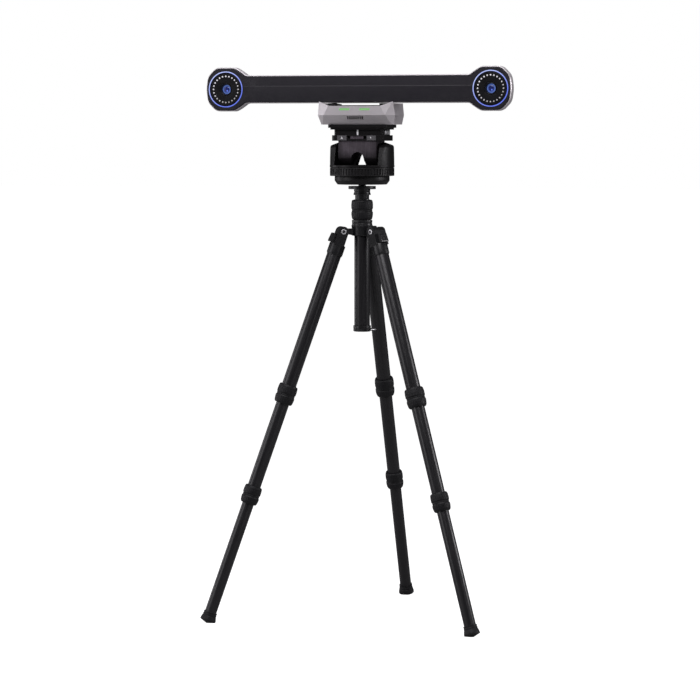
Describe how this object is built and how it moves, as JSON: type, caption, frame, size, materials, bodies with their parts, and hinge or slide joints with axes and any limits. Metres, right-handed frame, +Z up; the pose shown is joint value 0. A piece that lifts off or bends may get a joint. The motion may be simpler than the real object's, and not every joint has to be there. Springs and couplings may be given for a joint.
{
  "type": "stereo optical tracking scanner on tripod",
  "caption": "Stereo optical tracker bar with round lit camera pods on a pan and tilt head and telescopic tripod; it watches markers and a scanner from a fixed stand.",
  "frame": {"origin": "floor level, middle of the footprint rectangle of the whole object; the centre column's axis passes 72.97 mm in front of it (y = -0.07297)", "axes": "+Z up, -Y the front that the two lenses face, +X to the object's left-to-right as seen from the front, along the camera bar"},
  "size_m": [0.589, 0.4678, 1.0266],
  "materials": {
    "anodised_tube": "satin black anodised",
    "cast_black": "black powder coat",
    "grip_rubber": "matte moulded",
    "moulded_black": "satin moulded",
    "steel": "bright turned",
    "head_black": "satin black anodised",
    "block_grey": "grey anodised, brushed",
    "silver_paint": "fine metallic silver paint",
    "cover_black": "fine matte texture",
    "status_green": "translucent diffuser",
    "light_blue": "translucent diffuser",
    "circuit_board": "solder mask",
    "led_black": "matte black mask",
    "beam": "machined",
    "lens_glass": "blue coated"
  },
  "bodies": {
    "crown": {"crown": "cast_black"},
    "front_left_leg": {"front_left_shoulder": "cast_black", "front_left_hinge_bolt": "steel", "front_left_upper_tube": "anodised_tube"},
    "front_left_angle_tab": {"front_left_angle_tab": "moulded_black"},
    "front_left_upper_lock": {"front_left_upper_lock": "grip_rubber"},
    "front_left_mid_section": {"front_left_mid_tube": "anodised_tube"},
    "front_left_lower_lock": {"front_left_lower_lock": "grip_rubber"},
    "front_left_lower_section": {"front_left_lower_tube": "anodised_tube", "front_left_foot": "grip_rubber"},
    "front_right_leg": {"front_right_shoulder": "cast_black", "front_right_hinge_bolt": "steel", "front_right_upper_tube": "anodised_tube"},
    "front_right_angle_tab": {"front_right_angle_tab": "moulded_black"},
    "front_right_upper_lock": {"front_right_upper_lock": "grip_rubber"},
    "front_right_mid_section": {"front_right_mid_tube": "anodised_tube"},
    "front_right_lower_lock": {"front_right_lower_lock": "grip_rubber"},
    "front_right_lower_section": {"front_right_lower_tube": "anodised_tube", "front_right_foot": "grip_rubber"},
    "rear_leg": {"rear_shoulder": "cast_black", "rear_hinge_bolt": "steel", "rear_upper_tube": "anodised_tube"},
    "rear_angle_tab": {"rear_angle_tab": "moulded_black"},
    "rear_upper_lock": {"rear_upper_lock": "grip_rubber"},
    "rear_mid_section": {"rear_mid_tube": "anodised_tube"},
    "rear_lower_lock": {"rear_lower_lock": "grip_rubber"},
    "rear_lower_section": {"rear_lower_tube": "anodised_tube", "rear_foot": "grip_rubber"},
    "column_lock": {"column_lock": "grip_rubber"},
    "column": {"centre_column": "anodised_tube", "column_top_plate": "cast_black", "column_end_cap": "cast_black", "pan_base": "head_black"},
    "weight_hook": {"weight_hook": "steel"},
    "pan_drag_ring": {"pan_drag_ring": "head_black"},
    "yoke": {"yoke": "head_black"},
    "tilt_lock_knob": {"tilt_lock_knob": "grip_rubber"},
    "tilt_platform": {"tilt_axle": "steel", "tilt_block": "block_grey", "clamp_body": "head_black"},
    "clamp_lock_slider": {"clamp_lock_slider": "block_grey"},
    "plate_release_button": {"plate_release_button": "steel"},
    "tracker": {"quick_release_plate": "head_black", "plate_screw": "steel", "mount_block_shell": "silver_paint", "status_light_pipe": "status_green", "main_board": "circuit_board", "cradle_bracket": "block_grey", "baseline_beam": "beam", "rear_shell": "silver_paint", "front_cover": "cover_black", "left_light_ring": "light_blue", "left_led_board": "led_black", "left_lens_barrel": "led_black", "left_lens_glass": "lens_glass", "right_light_ring": "light_blue", "right_led_board": "led_black", "right_lens_barrel": "led_black", "right_lens_glass": "lens_glass"},
    "power_button": {"power_button": "cover_black"}
  },
  "joints": [
    {"name": "front_left_spread", "type": "hinge", "parent": "crown", "child": "front_left_leg", "pos_m": [-0.03291, -0.09197, 0.7229], "axis": [-0.5, 0.866, 0], "range_deg": [-19.5, 60]},
    {"name": "front_left_angle_tab_pull", "type": "slide", "parent": "front_left_leg", "child": "front_left_angle_tab", "axis": [-0.8162, -0.4712, 0.3343], "range_m": [0, 0.005]},
    {"name": "front_left_upper_lock_twist", "type": "hinge", "parent": "front_left_leg", "child": "front_left_upper_lock", "pos_m": [-0.12527, -0.14529, 0.42226], "axis": [-0.2895, -0.1672, -0.9425], "range_deg": [0, 90]},
    {"name": "front_left_mid_extend", "type": "slide", "parent": "front_left_leg", "child": "front_left_mid_section", "axis": [-0.2895, -0.1672, -0.9425], "range_m": [-0.158, 0.04]},
    {"name": "front_left_lower_lock_twist", "type": "hinge", "parent": "front_left_mid_section", "child": "front_left_lower_lock", "pos_m": [-0.18231, -0.17822, 0.23659], "axis": [-0.2895, -0.1672, -0.9425], "range_deg": [0, 90]},
    {"name": "front_left_lower_extend", "type": "slide", "parent": "front_left_mid_section", "child": "front_left_lower_section", "axis": [-0.2895, -0.1672, -0.9425], "range_m": [-0.203, 0.01]},
    {"name": "front_right_spread", "type": "hinge", "parent": "crown", "child": "front_right_leg", "pos_m": [0.03291, -0.09197, 0.7229], "axis": [-0.5, -0.866, 0], "range_deg": [-19.5, 60]},
    {"name": "front_right_angle_tab_pull", "type": "slide", "parent": "front_right_leg", "child": "front_right_angle_tab", "axis": [0.8162, -0.4712, 0.3343], "range_m": [0, 0.005]},
    {"name": "front_right_upper_lock_twist", "type": "hinge", "parent": "front_right_leg", "child": "front_right_upper_lock", "pos_m": [0.12527, -0.14529, 0.42226], "axis": [0.2895, -0.1672, -0.9425], "range_deg": [0, 90]},
    {"name": "front_right_mid_extend", "type": "slide", "parent": "front_right_leg", "child": "front_right_mid_section", "axis": [0.2895, -0.1672, -0.9425], "range_m": [-0.158, 0.04]},
    {"name": "front_right_lower_lock_twist", "type": "hinge", "parent": "front_right_mid_section", "child": "front_right_lower_lock", "pos_m": [0.18231, -0.17822, 0.23659], "axis": [0.2895, -0.1672, -0.9425], "range_deg": [0, 90]},
    {"name": "front_right_lower_extend", "type": "slide", "parent": "front_right_mid_section", "child": "front_right_lower_section", "axis": [0.2895, -0.1672, -0.9425], "range_m": [-0.203, 0.01]},
    {"name": "rear_spread", "type": "hinge", "parent": "crown", "child": "rear_leg", "pos_m": [0, -0.03497, 0.7229], "axis": [1, 0, 0], "range_deg": [-19.5, 60]},
    {"name": "rear_angle_tab_pull", "type": "slide", "parent": "rear_leg", "child": "rear_angle_tab", "axis": [0, 0.9425, 0.3343], "range_m": [0, 0.005]},
    {"name": "rear_upper_lock_twist", "type": "hinge", "parent": "rear_leg", "child": "rear_upper_lock", "pos_m": [0, 0.07169, 0.42226], "axis": [0, 0.3343, -0.9425], "range_deg": [0, 90]},
    {"name": "rear_mid_extend", "type": "slide", "parent": "rear_leg", "child": "rear_mid_section", "axis": [0, 0.3343, -0.9425], "range_m": [-0.158, 0.04]},
    {"name": "rear_lower_lock_twist", "type": "hinge", "parent": "rear_mid_section", "child": "rear_lower_lock", "pos_m": [0, 0.13755, 0.23659], "axis": [0, 0.3343, -0.9425], "range_deg": [0, 90]},
    {"name": "rear_lower_extend", "type": "slide", "parent": "rear_mid_section", "child": "rear_lower_section", "axis": [0, 0.3343, -0.9425], "range_m": [-0.203, 0.01]},
    {"name": "column_lock_twist", "type": "hinge", "parent": "crown", "child": "column_lock", "pos_m": [0, -0.07297, 0.7629], "axis": [0, 0, 1], "range_deg": [0, 90]},
    {"name": "column_rise", "type": "slide", "parent": "crown", "child": "column", "axis": [0, 0, 1], "range_m": [-0.008, 0.16]},
    {"name": "weight_hook_swing", "type": "hinge", "parent": "column", "child": "weight_hook", "pos_m": [0.0172, -0.07297, 0.5409], "axis": [0, 1, 0], "range_deg": [0, 90]},
    {"name": "pan_drag_turn", "type": "hinge", "parent": "column", "child": "pan_drag_ring", "pos_m": [0, -0.07297, 0.8329], "axis": [0, 0, 1], "range_deg": [-60, 60]},
    {"name": "pan", "type": "hinge", "parent": "column", "child": "yoke", "pos_m": [0, -0.07297, 0.8329], "axis": [0, 0, 1], "continuous": true},
    {"name": "tilt_lock_turn", "type": "hinge", "parent": "yoke", "child": "tilt_lock_knob", "pos_m": [-0.05, -0.02697, 0.8534], "axis": [0, 1, 0], "range_deg": [0, 180]},
    {"name": "tilt", "type": "hinge", "parent": "yoke", "child": "tilt_platform", "pos_m": [0, -0.07297, 0.8729], "axis": [1, 0, 0], "range_deg": [-20, 20]},
    {"name": "clamp_lock_shift", "type": "slide", "parent": "tilt_platform", "child": "clamp_lock_slider", "axis": [1, 0, 0], "range_m": [-0.0055, 0.0055]},
    {"name": "plate_release_press", "type": "slide", "parent": "tilt_platform", "child": "plate_release_button", "axis": [-1, 0, 0], "range_m": [0, 0.002]},
    {"name": "plate_lift_off", "type": "slide", "parent": "tilt_platform", "child": "tracker", "axis": [0, 0, 1], "range_m": [0, 0.025]},
    {"name": "power_press", "type": "slide", "parent": "tracker", "child": "power_button", "axis": [0, -1, 0], "range_m": [0, 0.0012]}
  ]
}
